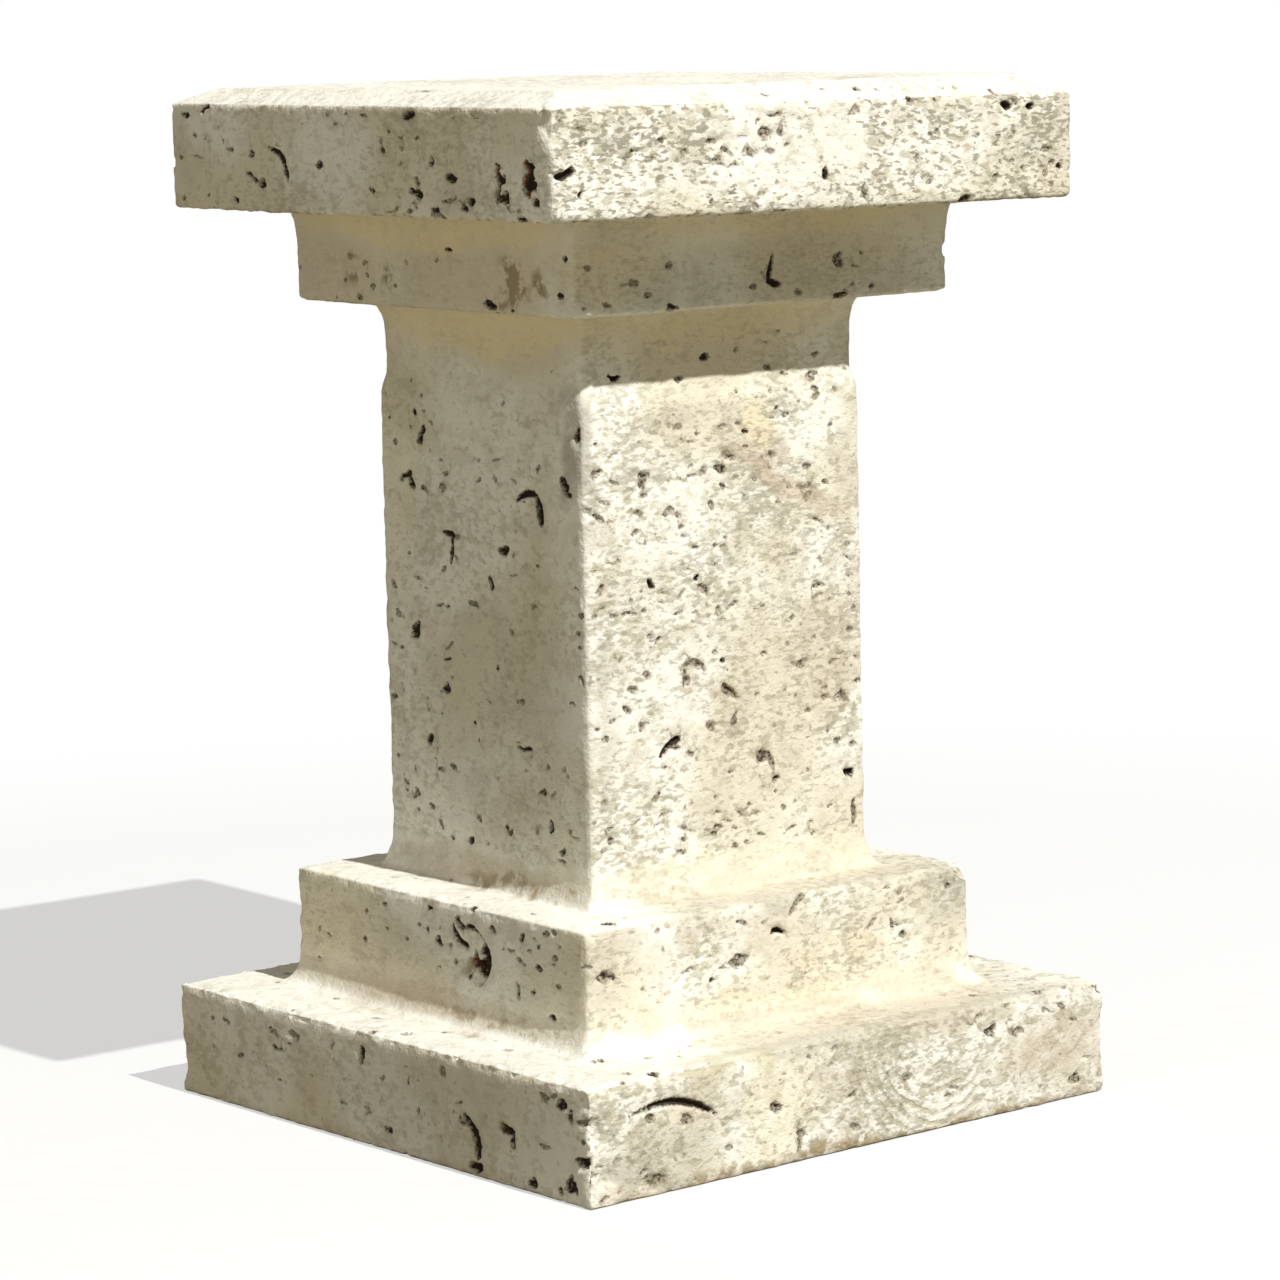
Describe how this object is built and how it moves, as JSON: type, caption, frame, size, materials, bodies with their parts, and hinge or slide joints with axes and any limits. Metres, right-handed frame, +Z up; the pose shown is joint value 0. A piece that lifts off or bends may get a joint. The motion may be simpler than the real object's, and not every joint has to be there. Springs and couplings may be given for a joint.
{
  "type": "carved stone pedestal",
  "caption": "Low square pedestal carved from one block of travertine: stepped plinths, plain shaft, cap block and a bevelled top slab, joined by coves.",
  "frame": {"origin": "centre of the underside, on the ground", "axes": "+Z up; X and Y along the sides of the foot, with the largest cavity on the face towards -X and the arched crack on the face towards -Y"},
  "size_m": [0.322, 0.322, 0.494],
  "materials": {
    "stone": "matt, unfilled travertine: pale cream and beige with grey flecks, fine pits and open voids, smoother in the coves"
  },
  "bodies": {
    "root": {"pedestal": "stone"}
  },
  "joints": []
}
